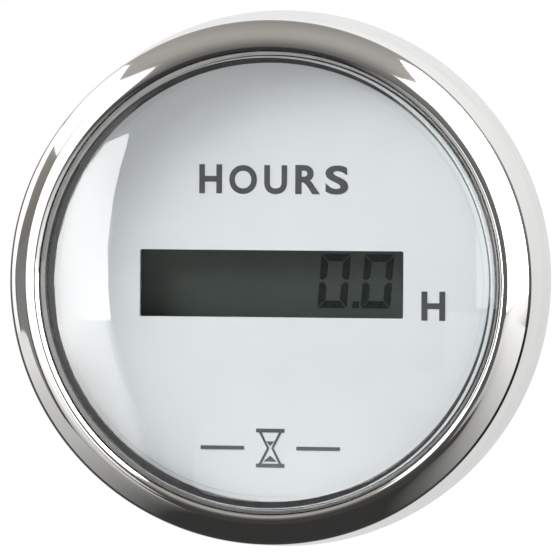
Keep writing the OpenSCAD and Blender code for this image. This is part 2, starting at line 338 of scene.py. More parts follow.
def words(name: str, text: str, centre: Point, size: Point, level: float, thick: float,
          weight: float) -> bpy.types.Object:
    """Prints letters on the dial.

    Args:
        name: name of the new piece.
        text: the letters.
        centre: x and height of their middle, in mm.
        size: width and height, in mm.
        level: level of the surface, in mm.
        thick: thickness of the ink, in mm.
        weight: how far the strokes are thickened, as a share of the type size.

    Returns:
        The letters as a mesh.
    """
    curve_steps, half_depth = 6, 0.5
    clear_selection()
    bpy.ops.object.text_add()
    piece = bpy.context.object
    piece.name = name
    piece.data.body = text
    piece.data.offset = weight
    piece.data.extrude = half_depth
    piece.data.resolution_u = curve_steps
    bpy.ops.object.convert(target="MESH")
    piece = bpy.context.object
    piece.data.name = name
    corners = [Vector(c) for c in piece.bound_box]
    low = Vector(min(c[i] for c in corners) for i in range(3))
    high = Vector(max(c[i] for c in corners) for i in range(3))
    wide, tall, deep = high - low
    to_middle = Matrix.Translation(-(low + high) / 2)
    to_size = Matrix.Diagonal((size[0] * MM / wide, size[1] * MM / tall, thick * MM / deep, 1.0))
    upright = Matrix.Rotation(math.radians(90), 4, "X")
    place = Matrix.Translation((centre[0] * MM, -(level + thick / 2) * MM, centre[1] * MM))
    piece.data.transform(place @ upright @ to_size @ to_middle)
    return piece


# Finishes


def set_sockets(node: bpy.types.Node, values: dict[str, float | tuple]) -> None:
    """Sets inputs of a node, named with underscores for spaces."""
    for key, value in values.items():
        node.inputs[key.replace("_", " ")].default_value = value


class NodeSheet:
    """Lays out the nodes of a material or of the room."""

    def __init__(self, owner: bpy.types.Material | bpy.types.World, shader: str = "BsdfPrincipled",
                 out: str = "OutputMaterial") -> None:
        """Starts with one shader at the output.

        Args:
            owner: material or world of the nodes.
            shader: kind of the shader.
            out: kind of the output.
        """
        owner.use_nodes = True
        self.tree = owner.node_tree
        self.tree.nodes.clear()
        self.out = self.node(out)
        self.shader = self.node(shader)
        self.wire((self.shader, 0, self.out, "Surface"))

    def set(self, **values: float | tuple) -> None:
        """Sets inputs of the shader."""
        set_sockets(self.shader, values)

    def node(self, kind: str, **values: float | tuple) -> bpy.types.Node:
        """Adds a node.

        Args:
            kind: its type, without the prefix of all shader nodes.
            values: inputs to set.

        Returns:
            The node.
        """
        node = self.tree.nodes.new(f"ShaderNode{kind}")
        set_sockets(node, values)
        return node

    def math(self, kind: str, operation: str, value: float | tuple | None = None) -> bpy.types.Node:
        """Adds a node that calculates.

        Args:
            kind: its type, without the prefix.
            operation: what it calculates.
            value: second operand, where that is fixed.

        Returns:
            The node.
        """
        node = self.node(kind)
        node.operation = operation
        if value is not None:
            node.inputs[1].default_value = value
        return node

    def wire(self, *links: Link) -> None:
        """Links nodes, each from an output of one to an input of another."""
        for source, out, target, into in links:
            self.tree.links.new(source.outputs[out], target.inputs[into])

    def ramp(self, stops: list[tuple[float, Tone]]) -> bpy.types.Node:
        """Adds a colour ramp.

        Args:
            stops: position and tone of each stop, in order.

        Returns:
            The ramp.
        """
        ramp = self.node("ValToRGB")
        marks = ramp.color_ramp.elements
        while len(marks) < len(stops):
            marks.new(0.5)
        for mark, (where, tone) in zip(marks, stops):
            mark.position = where
            mark.color = (*tone, 1.0)
        return ramp

    def noise(self, scale: float, detail: float, stretch: Tone = (1.0, 1.0, 1.0)) -> bpy.types.Node:
        """Adds noise in object space.

        Args:
            scale: cells in a metre.
            detail: octaves.
            stretch: scale along each axis.

        Returns:
            The noise.
        """
        place = self.node("TexCoord")
        stretched = self.node("Mapping", Scale=stretch)
        field = self.node("TexNoise", Scale=scale, Detail=detail)
        self.wire((place, "Object", stretched, "Vector"), (stretched, "Vector", field, "Vector"))
        return field

    def tint(self, dark: Tone, light: Tone, source: bpy.types.Node) -> None:
        """Blends the base colour between two tones.

        Args:
            dark: tone where the noise is low.
            light: tone where it is high.
            source: the noise.
        """
        ramp = self.ramp(list(zip(NOISE_SPAN, (dark, light))))
        self.wire((source, "Fac", ramp, "Fac"), (ramp, "Color", self.shader, "Base Color"))

    def rough(self, low: float, high: float, source: bpy.types.Node) -> None:
        """Varies the roughness.

        Args:
            low: roughness where the noise is low.
            high: roughness where it is high.
            source: the noise.
        """
        first, last = NOISE_SPAN
        span = self.node("MapRange", From_Min=first, From_Max=last, To_Min=low, To_Max=high)
        self.wire((source, "Fac", span, "Value"), (span, "Result", self.shader, "Roughness"))

    def bump(self, depth: float, source: bpy.types.Node, strength: float = 1.0) -> None:
        """Raises the surface.

        Args:
            depth: height of the relief in metres.
            source: the noise.
            strength: share of the relief that shows.
        """
        relief = self.node("Bump", Strength=strength, Distance=depth)
        self.wire((source, "Fac", relief, "Height"), (relief, "Normal", self.shader, "Normal"))


@dataclass(frozen=True)
class Layer:
    """Noise in object space, with what a surface has at its two ends."""

    low: float
    high: float
    scale: float
    detail: float
    stretch: Tone = (1.0, 1.0, 1.0)

    def noise(self, sheet: NodeSheet) -> bpy.types.Node:
        """Adds the noise to the nodes of a material."""
        return sheet.noise(self.scale, self.detail, self.stretch)


Inputs = tuple[tuple[str, float], ...]


@dataclass(frozen=True)
class Finish:
    """A surface with its tone, how it varies, and the record's slot it belongs to.

    The mottle has two shares of the tone, the polish two steps from the gloss,
    and the relief its depth in metres and the share of it that shows.
    """

    name: str
    slot: str
    tone: Tone
    gloss: float
    mottle: Layer | None = None
    polish: Layer = Layer(0.0, 0.02, 260.0, 4.0)
    relief: Layer | None = None
    inputs: Inputs = ()

    def shade(self, share: float) -> Tone:
        """The tone times a share."""
        return tuple(min(1.0, c * share) for c in self.tone)

    def lay(self, sheet: NodeSheet) -> None:
        """Lays out tone, polish and relief.

        Args:
            sheet: nodes of the material.
        """
        sheet.set(**dict(self.inputs))
        if self.mottle:
            sheet.tint(self.shade(self.mottle.low), self.shade(self.mottle.high), self.mottle.noise(sheet))
        else:
            sheet.set(Base_Color=(*self.tone, 1.0))
        polish = self.polish
        sheet.rough(self.gloss + polish.low, self.gloss + polish.high, polish.noise(sheet))
        if self.relief:
            sheet.bump(self.relief.low, self.relief.noise(sheet), self.relief.high)

    def material(self) -> bpy.types.Material:
        """Makes the material on first use.

        Returns:
            The material.
        """
        title = f"finish_{self.name}"
        found = bpy.data.materials.get(title)
        if found is None:
            found = bpy.data.materials.new(title)
            self.lay(NodeSheet(found))
        return found


@dataclass(frozen=True)
class Moulded(Finish):
    """Moulded plastic with faint flow marks and the fine grain of the mould."""

    mottle: Layer = Layer(0.94, 1.02, 140.0, 3.0)
    polish: Layer = Layer(-0.07, 0.07, 900.0, 2.0)
    relief: Layer = Layer(0.000012, 1.0, 2600.0, 3.0)
    inputs: Inputs = (("IOR", 1.5),)


@dataclass(frozen=True)
class Rubber(Finish):
    """Rubber with a chalky bloom, dull and finely pitted."""

    mottle: Layer = Layer(0.8, 1.5, 700.0, 5.0)
    polish: Layer = Layer(-0.1, 0.1, 1500.0, 2.0)
    relief: Layer = Layer(0.00002, 1.0, 4200.0, 4.0)


@dataclass(frozen=True)
class Metal(Finish):
    """Bare or plated metal, whose polish varies a little."""

    mottle: Layer = Layer(0.97, 1.02, 90.0, 2.0)
    relief: Layer = Layer(0.000001, 0.25, 900.0, 3.0)
    inputs: Inputs = (("Metallic", 1.0),)


@dataclass(frozen=True)
class Clear(Finish):
    """Clear moulding, polished, with hardly visible wipe marks."""

    polish: Layer = Layer(0.0, 0.012, 120.0, 3.0, (1.0, 1.0, 4.0))
    inputs: Inputs = (("Transmission_Weight", 1.0), ("IOR", 1.49))


@dataclass(frozen=True)
class Painted(Finish):
    """Satin paint with a fine orange peel and a nearly even tone."""

    mottle: Layer = Layer(0.985, 1.01, 220.0, 5.0)
    polish: Layer = Layer(-0.05, 0.05, 600.0, 2.0)
    relief: Layer = Layer(0.000004, 0.5, 3500.0, 2.0)


@dataclass(frozen=True)
class Ink(Finish):
    """Dull ink with the fine mesh of the printing screen."""

    mottle: Layer = Layer(0.94, 1.06, 2500.0, 3.0)
    polish: Layer = Layer(-0.08, 0.08, 1800.0, 2.0)
    inputs: Inputs = (("Specular_IOR_Level", 0.1),)


@dataclass(frozen=True)
class Polariser(Finish):
    """Film on the face of the counter cell, with a slow drift of tone."""

    mottle: Layer = Layer(0.97, 1.03, 60.0, 2.0)
    polish: Layer = Layer(-0.04, 0.04, 500.0, 2.0)
    inputs: Inputs = (("Specular_IOR_Level", 0.0),)


@dataclass(frozen=True)
class Laminate(Finish):
    """Circuit board, with tracks as stretched cells in two greens under its mask."""

    mottle: Layer = Layer(0.8, 1.5, 420.0, 1.0, (1.0, 1.0, 0.2))
    polish: Layer = Layer(-0.05, 0.1, 800.0, 2.0)
    relief: Layer = Layer(0.00003, 0.6, 420.0, 1.0, (1.0, 1.0, 0.2))


STEEL = Metal("polished_steel", "bezel_steel", (0.83, 0.82, 0.80), 0.035,
              polish=Layer(0.0, 0.03, 260.0, 4.0, (1.0, 6.0, 1.0)),
              relief=Layer(0.0000006, 0.25, 900.0, 3.0, (1.0, 6.0, 1.0)))
LENS = Clear("lens_clear", "lens_clear", (0.985, 0.995, 0.99), 0.0)
SEAL = Rubber("seal_rubber", "seal_rubber", (0.022, 0.022, 0.024), 0.6)
# The dial paint is white; the cool blue-grey in its tone is a painted reflection of the lens, laid into the
# colour.
DIAL_WITH_PAINTED_REFLECTION = Painted("dial_white", "dial_white", (0.765, 0.805, 0.83), 0.42)
INK = Ink("dial_ink", "dial_white", (0.082, 0.084, 0.096), 0.5)
CARRIER = Moulded("carrier_white", "carrier_white", (0.84, 0.84, 0.82), 0.55)
FILM = Polariser("counter_film", "lcd_grey", (0.059, 0.070, 0.064), 0.3)
SEGMENT = Ink("counter_segment", "lcd_grey", (0.012, 0.014, 0.016), 0.3)
GUIDE = Clear("guide_clear", "guide_clear", (0.95, 0.98, 0.98), 0.05)
STRIP = Rubber("contact_rubber", "strip_rubber", (0.40, 0.28, 0.31), 0.6)
BOARD = Laminate("board_green", "board_green", (0.03, 0.16, 0.07), 0.35)
LED = Moulded("led_white", "led_white", (0.86, 0.78, 0.42), 0.3)
CHIP = Moulded("chip_black", "chip_black", (0.02, 0.02, 0.022), 0.5,
               relief=Layer(0.000012, 1.0, 5200.0, 3.0))
CAN = Metal("crystal_can", "can_steel", (0.62, 0.63, 0.64), 0.25)
PIN = Metal("pin_gold", "pin_brass", (0.80, 0.58, 0.22), 0.2)
HEADER = Moulded("header_black", "strip_black", (0.02, 0.02, 0.022), 0.45)
SLEEVE = Moulded("capacitor_sleeve", "cap_blue", (0.03, 0.06, 0.17), 0.3)
BLADE = Metal("blade_tin", "blade_tin", (0.74, 0.70, 0.60), 0.22,
              polish=Layer(0.0, 0.14, 260.0, 4.0, (1.0, 0.15, 1.0)),
              relief=Layer(0.000004, 0.25, 900.0, 3.0, (1.0, 0.15, 1.0)))
SCREW = Metal("screw_zinc", "screw_steel", (0.60, 0.61, 0.64), 0.24)
CASE = Moulded("case_white", "case_white", (0.80, 0.795, 0.765), 0.5)
GASKET = Rubber("gasket_rubber", "gasket_rubber", (0.03, 0.03, 0.033), 0.72)
CLAMP = Moulded("clamp_white", "clamp_white", (0.81, 0.805, 0.775), 0.46)


def dress(piece: bpy.types.Object, finish: Finish, body: Body, *nodes: str) -> None:
    """Finishes a new piece and ties it to its body.

    Args:
        piece: the new piece.
        finish: its surface.
        body: body that it moves with.
        nodes: solids that it stands for.
    """
    piece.data.materials.clear()
    piece.data.materials.append(finish.material())
    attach(piece, body.value)
    if nodes:
        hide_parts(*nodes)
    LOG.info("piece %s on %s, %d faces", piece.name, body.value, len(piece.data.polygons))


def dress_node(node: str, finish: Finish) -> None:
    """Finishes a solid that stays as it is.

    Args:
        node: name of the solid.
        finish: its surface.
    """
    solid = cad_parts[node]
    if not solid.material_slots:
        solid.data.materials.append(finish.material())
    for slot in solid.material_slots:
        slot.material = finish.material()
    LOG.info("solid %s: %s", node, finish.name)


def levels_of(node: str) -> Point:
    """Back and front level of a solid, in mm."""
    low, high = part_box(node)
    return -high.y / MM, -low.y / MM


def radius_of(node: str) -> float:
    """Outer radius of a round solid, in mm."""
    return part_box(node)[1].x / MM


# Sub-assemblies


@dataclass
class Front:
    """Bezel, lens, seal and printed dial, in mm."""

    bezel_r: float = 31.0
    steel: float = 0.8
    band_w: float = 3.2
    crown_r: float = 4.6
    edge_r: float = 1.1
    fold_w: float = 3.0
    lip_round: float = 0.6
    dome_gap: float = 0.5
    dome_side: float = 0.8
    dome_rise: float = 1.6
    dome_round: float = 0.7
    land_w: float = 0.6
    lens_wall: float = 2.2
    flange_blend: float = 0.05
    flange_ease: float = 0.15
    seal_in: float = 25.8
    seal_round: float = 0.08
    seal_gap: float = 0.02
    dial_ease: float = 0.08
    window: Point = (31.3, 7.95)
    window_r: float = 0.2
    window_drop: float = 0.2
    ink: float = 0.03
    weight: float = 0.03
    letter_h: float = 3.43
    legend: tuple[tuple[str, float, float, float], ...] = (
        ("H", -7.25, 12.15, 2.71), ("O", -3.39, 12.08, 3.3), ("U", 0.48, 12.09, 2.71),
        ("R", 4.28, 12.13, 2.95), ("S", 7.73, 12.1, 2.72))
    unit_at: Point = (19.2, -2.62)
    unit_w: float = 2.8
    mark_at: float = -19.6
    mark_size: Point = (3.4, 4.6)
    rule_size: Point = (5.2, 0.45)

    def build(self) -> None:
        """Builds and dresses every piece of the front."""
        self.bezel()
        self.lens()
        self.seal()
        self.dial()
        self.print()

    def bezel(self) -> None:
        """Turns the steel strip: lip, crowned band, edge, flared wall and fold."""
        back, top = levels_of("bezel")
        seat_r = radius_of("bezel")
        crown_in = self.bezel_r - self.band_w
        lip_r = crown_in - self.lip_round
        lip_level = levels_of("lens")[1] - self.dome_rise - self.dome_side
        reach = self.crown_r - self.edge_r
        turn = math.asin((self.band_w - self.edge_r) / reach)
        edge_level = top - self.crown_r + reach * math.cos(turn)
        turn = math.degrees(turn)
        foot = back + self.steel
        crown = (crown_in, top - self.crown_r)
        edge = (self.bezel_r - self.edge_r, edge_level)
        inner = math.degrees(math.asin((self.steel - self.lip_round) / (self.crown_r - self.steel)))
        profile = [(lip_r, lip_level)]
        profile += arc((crown_in, top - self.lip_round), self.lip_round, -90, 0, 12)
        profile += arc(crown, self.crown_r, 0, turn, 24)[1:]
        profile += arc(edge, self.edge_r, turn, 90, 12)[1:]
        profile += [(seat_r, foot)]
        profile += arc((seat_r - self.steel, foot), self.steel, 90, 180, 6)[1:]
        profile += [(seat_r - self.fold_w, back), (seat_r - self.fold_w, foot)]
        profile += [(seat_r - self.steel, foot)]
        profile += arc(edge, self.edge_r - self.steel, 90, turn, 6)
        profile += arc(crown, self.crown_r - self.steel, turn, inner, 8)[1:]
        profile += [(lip_r + self.steel, lip_level)]
        piece = lathe("bezel_ring", profile, FINE_STEPS)
        dress(piece, STEEL, Body.METER, "bezel")

    def lens(self) -> None:
        """Turns the dome with its low side, its flange and the land that meets the seal."""
        back, crest = levels_of("lens")
        shoulder = crest - self.dome_rise
        flange = shoulder - self.dome_side
        rim = self.bezel_r - self.band_w - self.lip_round - self.dome_gap
        outer = radius_of("lens")
        land = self.seal_in - self.land_w
        sphere = (rim**2 + self.dome_rise**2) / (2 * self.dome_rise)
        centre = (0.0, crest - sphere)
        q, f, e = self.dome_round, self.flange_blend, self.flange_ease
        meet = math.asin((rim - q) / (sphere - q))
        round_at = (rim - q, centre[1] + (sphere - q) * math.cos(meet))
        inside = sphere - self.lens_wall
        mouth = math.degrees(math.asin(land / inside))
        profile = arc(centre, sphere, 0, math.degrees(meet), 48)
        profile += arc(round_at, q, math.degrees(meet), 90, 12)[1:]
        profile += arc((rim + f, flange + f), f, -90, -180, 3)
        profile += [(outer - e, flange), (outer, flange - e), (outer, back + e),
                    (outer - e, back), (land, back)]
        profile += arc(centre, inside, mouth, 0, 40)
        piece = lathe("domed_lens", profile, FINE_STEPS, closed=False)
        dress(piece, LENS, Body.METER, "lens")
        piece.visible_shadow = False
        piece.visible_diffuse = False

    def seal(self) -> None:
        """Turns the rubber ring with a rounded inner edge."""
        back, front = levels_of("lens_seal")
        outer = radius_of("lens_seal")
        q = self.seal_round
        front -= self.seal_gap
        profile = [(outer, back), (outer, front)]
        profile += arc((self.seal_in + q, front - q), q, 0, -90, 4)
        profile += arc((self.seal_in + q, back + q), q, -90, -180, 4)
        dress(lathe("seal_ring", profile, RING_STEPS), SEAL, Body.METER, "lens_seal")

    def dial(self) -> None:
        """Cuts the counter window out of the dial plate."""
        back, front = levels_of("dial")
        outer = radius_of("dial")
        bevel, past = self.dial_ease, 1.0
        piece = lathe("dial_plate", [(0, front), (outer - bevel, front), (outer, front - bevel),
                                     (outer, back), (0, back)], DIAL_STEPS, closed=False)
        wide, tall = (s / 2 for s in self.window)
        r = self.window_r
        up, down = tall - r - self.window_drop, r - tall - self.window_drop
        corners = [(wide - r, up, 0), (wide - r, down, 90), (r - wide, down, 180), (r - wide, up, 270)]
        outline = [p for x, z, a in corners for p in arc((x, z), r, a, a + 90, 5)]
        tool = plate("window_tool", outline, back - past, front - back + 2 * past)
        carve(piece, tool, "DIFFERENCE")
        smooth(piece)
        dress(piece, DIAL_WITH_PAINTED_REFLECTION, Body.METER, "dial")

    def print(self) -> None:
        """Prints the legend, the unit and a plain hourglass between two rules."""
        level = levels_of("dial")[1]
        unit = (("H", *self.unit_at, self.unit_w),)
        for name, signs in (("print_hours", self.legend), ("print_unit", unit)):
            letters = [words(name, text, (x, z), (wide, self.letter_h), level, self.ink, self.weight)
                       for text, x, z, wide in signs]
            dress(join(name, letters), INK, Body.METER)
        marks = [plate("print_mark", [(x, self.mark_at + z) for x, z in outline], level, self.ink)
                 for outline in self.hourglass()]
        dress(join("print_mark", marks), INK, Body.METER)

    def hourglass(self) -> list[list[Point]]:
        """Outlines the hourglass and its two rules.

        Returns:
            The outlines about the middle of the mark, in mm.
        """
        wide, tall = (s / 2 for s in self.mark_size)
        cap, overhang, wall, neck, pinch, gap = 0.46, 0.35, 0.34, 0.4, 0.8, 1.4
        heap_w, heap_low, heap_high = 0.8, 0.25, 0.95
        sand_w, sand_low, sand_high = 0.5, 0.25, 0.8
        edge, top, near = wide - overhang, tall - cap, wide + gap
        long, thick = self.rule_size
        shapes = [[(-heap_w, heap_low - top), (heap_w, heap_low - top), (0.0, heap_high - top)],
                  [(-sand_w, sand_high), (sand_w, sand_high), (0.0, sand_low)]]
        for side in (-1, 1):
            shapes.append([(-wide, side * tall), (wide, side * tall),
                           (wide, side * top), (-wide, side * top)])
            shapes.append([(side * edge, top), (side * neck, 0.0), (side * edge, -top),
                           (side * (edge - wall), -top), (side * (neck - wall * pinch), 0.0),
                           (side * (edge - wall), top)])
            shapes.append([(side * near, -thick / 2), (side * (near + long), -thick / 2),
                           (side * (near + long), thick / 2), (side * near, thick / 2)])
        return shapes


@dataclass
class Counter:
    """Liquid crystal cell and its digits, in mm."""

    digit_w: float = 3.5
    digit_h: float = 6.4
    stroke: float = 0.88
    split: float = 0.1
    slant: float = 4.5
    pitch: float = 5.15
    last_at: Point = (12.4, 0.15)
    dot: float = 0.8
    film: float = 0.02
    notch: float = 0.15
    ledge: Point = (0.6, 1.2)
    glass_edge: float = 0.08

    def build(self) -> None:
        """Dresses the cell and draws the digits that show."""
        self.cell()
        self.digits()

    def cell(self) -> None:
        """Models the cell as two glass plates, the rear one with a contact ledge."""
        low, high = (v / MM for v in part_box("lcd_cell"))
        middle = (low.y + high.y) / 2
        side, foot = self.ledge
        front = bar("counter_cell", Vector((low.x + side, low.y, low.z + foot)),
                    Vector((high.x - side, middle, high.z - foot)), self.glass_edge)
        rear = bar("counter_rear", Vector((low.x, middle, low.z)), high, self.glass_edge)
        dress(join("counter_cell", [front, rear]), FILM, Body.METER, "lcd_cell")

    def lean(self, outline: list[Point], at: Point) -> list[Point]:
        """Places an outline at a digit's centre and leans it."""
        lean = math.tan(math.radians(self.slant))
        return [(at[0] + x + lean * z, at[1] + z) for x, z in outline]

    def segments(self) -> dict[str, list[Point]]:
        """Outlines the seven segments.

        Returns:
            Each segment's corners about the digit's centre, in mm.
        """
        w, h, t, g = self.digit_w / 2, self.digit_h / 2, self.stroke, self.split
        top = [(-w + g, h), (w - g, h), (w - t, h - t), (-w + t, h - t)]
        upper = [(w, h - g), (w, g + self.notch), (w - t / 2, g), (w - t, g + t / 2), (w - t, h - t - g)]
        half = t / 2
        bar_mid = [(-w + t, 0.0), (-w + t + half, half), (w - t - half, half), (w - t, 0.0),
                   (w - t - half, -half), (-w + t + half, -half)]
        return {
            "top": top,
            "upper_right": upper,
            "lower_right": [(x, -z) for x, z in upper],
            "bottom": [(x, -z) for x, z in top],
            "lower_left": [(-x, -z) for x, z in upper],
            "upper_left": [(-x, z) for x, z in upper],
            "middle": bar_mid,
        }

    def digits(self) -> None:
        """Draws two noughts and the point between them."""
        level = levels_of("lcd_cell")[1]
        shown = [n for n in self.segments() if n != "middle"]
        x, z = self.last_at
        for place, name in ((x - self.pitch, "digit_units"), (x, "digit_tenths")):
            parts = [plate(name, self.lean(self.segments()[n], (place, z)), level, self.film) for n in shown]
            dress(join(name, parts), SEGMENT, Body.METER)
        d = self.dot / 2
        at = (x - self.pitch / 2, z - self.digit_h / 2 + d)
        point = self.lean([(-d, -d), (d, -d), (d, d), (-d, d)], at)
        dress(plate("digit_point", point, level, self.film), SEGMENT, Body.METER)


@dataclass
class Works:
    """Carrier, boards and their parts, which stay as solids."""

    def build(self) -> None:
        """Finishes every solid inside the case."""
        finishes = {
            "display_carrier": CARRIER, "light_guide": GUIDE, "contact_strips": STRIP,
            "display_board": BOARD, "backlight_leds": LED, "controller_chip": CHIP,
            "memory_chip": CHIP, "crystal": CAN, "link_pins": PIN, "link_strip": HEADER,
            "power_board": BOARD, "capacitor": SLEEVE, "regulator": CHIP, "diode": CHIP,
            "board_screws": SCREW,
        }
        for node, finish in finishes.items():
            dress_node(node, finish)


@dataclass
class Housing:
    """Case with its thread, gasket and terminals, in mm."""

    root_r: float = 25.3
    crest_r: float = 25.8
    pitch: float = 3.0
    ridge_w: float = 1.5
    crest_w: float = 0.6
    thread_from: float = 4.6
    thread_to: float = 28.8
    thread_sink: float = 0.15
    crest_gap: float = 0.02
    gasket_in: float = 28.4
    gasket_round: float = 0.3
    barrier_h: float = 5.0
    sign_at: float = 7.6
    sign_arm: float = 1.3
    sign_half: float = 0.25
    sign_rise: float = 0.25
    sign_root: float = 0.2
    sign_edge: float = 0.05

    def build(self) -> None:
        """Builds and dresses the pieces behind the bezel."""
        dress_node("case", CASE)
        self.thread()
        self.gasket()
        self.signs()
        for node in ("terminal_plus", "terminal_minus", "terminal_lamp"):
            dress_node(node, BLADE)

    def thread(self) -> None:
        """Winds the ridge on the barrel."""
        turns = (self.thread_to - self.thread_from - self.ridge_w) / self.pitch
        y = self.thread_from + self.ridge_w / 2
        base, top = self.ridge_w / 2, self.crest_w / 2
        root, crest = self.root_r - self.thread_sink, self.crest_r - self.crest_gap
        section = [(root, y - base), (root, y + base), (crest, y + top), (crest, y - top)]
        dress(helix("case_thread", section, self.pitch, turns, 0.0), CASE, Body.METER)

    def gasket(self) -> None:
        """Turns the panel gasket with eased edges."""
        back, front = levels_of("panel_gasket")
        outer, inner, q = radius_of("panel_gasket"), self.gasket_in, self.gasket_round
        profile = arc((outer - q, front - q), q, 0, 90, 4) + arc((outer - q, back + q), q, 90, 180, 4)
        profile += arc((inner + q, back + q), q, 180, 270, 4) + arc((inner + q, front - q), q, -90, 0, 4)
        dress(lathe("gasket_ring", profile, RING_STEPS), GASKET, Body.METER, "panel_gasket")

    def signs(self) -> None:
        """Raises a plus and a minus sign above their blades."""
        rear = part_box("case")[1].y / MM - self.barrier_h
        z, arm, half = self.sign_at, self.sign_arm, self.sign_half
        marks = []
        for node, upright in (("terminal_plus", True), ("terminal_minus", False)):
            low, far = (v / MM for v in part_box(node))
            x = (low.x + far.x) / 2
            strokes = [(arm, z - half, z + half)]
            if upright:
                strokes += [(half, z - arm, z - half), (half, z + half, z + arm)]
            marks += [bar("rear_sign", Vector((x - wide, rear - self.sign_root, foot)),
                          Vector((x + wide, rear + self.sign_rise, head)), self.sign_edge)
                      for wide, foot, head in strokes]
        dress(join("rear_signs", marks), CASE, Body.METER)


@dataclass
class Clamp:
    """Washer and ring nut, in mm."""

    bore_r: float = 26.0
    flange_r: float = 30.0
    flange_t: float = 2.4
    hub_r: float = 28.4
    ribs: int = 18
    rib_h: float = 0.8
    rib_w: float = 2.0
    lug_w: float = 6.0
    lug_h: float = 1.2
    lug_turn: float = -22.0
    pitch: float = 3.0
    ridge_w: float = 1.3
    crest_w: float = 0.5
    crest_r: float = 25.5
    thread_sink: float = 0.15
    thread_from: float = 2.2
    thread_to: float = 0.9
    washer_round: float = 0.2
    nut_round: float = 0.35
    bore_ease: float = 0.4
    rib_sink: float = 0.8
    rib_round: float = 0.3
    lug_sink: float = 2.0
    inset: float = 0.06

    def build(self) -> None:
        """Builds and dresses the clamp."""
        self.washer()
        self.nut()

    def washer(self) -> None:
        """Turns the slip washer with eased edges."""
        back, front = levels_of("clamp_washer")
        outer, q = radius_of("clamp_washer"), self.washer_round
        profile = arc((outer - q, front - q), q, 0, 90, 3) + arc((outer - q, back + q), q, 90, 180, 3)
        profile += [(self.bore_r, back), (self.bore_r, front)]
        dress(lathe("slip_washer", profile, RING_STEPS), CLAMP, Body.WASHER, "clamp_washer")

    def nut(self) -> None:
        """Turns the nut, adds its ribs and lugs, and winds the thread in its bore."""
        back, front = levels_of("clamp_nut")
        q, ease, inset = self.nut_round, self.bore_ease, self.inset
        neck = front - self.flange_t
        profile = [(self.bore_r, front)]
        profile += arc((self.flange_r - q, front - q), q, 0, 90, 4)
        profile += arc((self.flange_r - q, neck + q), q, 90, 180, 4)
        profile += arc((self.hub_r + q, neck - q), q, 0, -90, 4)
        profile += arc((self.hub_r - q, back + q), q, 90, 180, 4)
        profile += [(self.bore_r + ease, back), (self.bore_r, back + ease)]
        piece = lathe("ring_nut", profile, NUT_STEPS)
        rib = bar("nut_rib", Vector((self.hub_r - self.rib_sink, -neck, -self.rib_w / 2)),
                  Vector((self.hub_r + self.rib_h, -back - inset, self.rib_w / 2)), self.rib_round)
        step = 360 / self.ribs
        grips = [rib] + [turn_copy(rib, i * step) for i in range(1, self.ribs)]
        lug = bar("nut_lug", Vector((self.flange_r - self.lug_sink, -front + inset, -self.lug_w / 2)),
                  Vector((self.flange_r + self.lug_h, -neck - inset, self.lug_w / 2)), q)
        grips += [lug, turn_copy(lug, 180)]
        tool = join("nut_grips", grips)
        tool.data.transform(Matrix.Rotation(math.radians(-self.lug_turn), 4, "Y"))
        carve(piece, tool, "UNION")
        smooth(piece)
        dress(piece, CLAMP, Body.NUT, "clamp_nut")
        base, top = self.ridge_w / 2, self.crest_w / 2
        y = -front + self.thread_from + base
        turns = (-back - self.thread_to - base - y) / self.pitch
        root = self.bore_r + self.thread_sink
        section = [(root, y - base), (self.crest_r, y - top), (self.crest_r, y + top), (root, y + base)]
        barrel = Housing()
        lead = (y - barrel.thread_from - barrel.ridge_w / 2 - self.pitch / 2) / self.pitch * 360
        dress(helix("nut_thread", section, self.pitch, turns, lead), CLAMP, Body.NUT)


# Studio


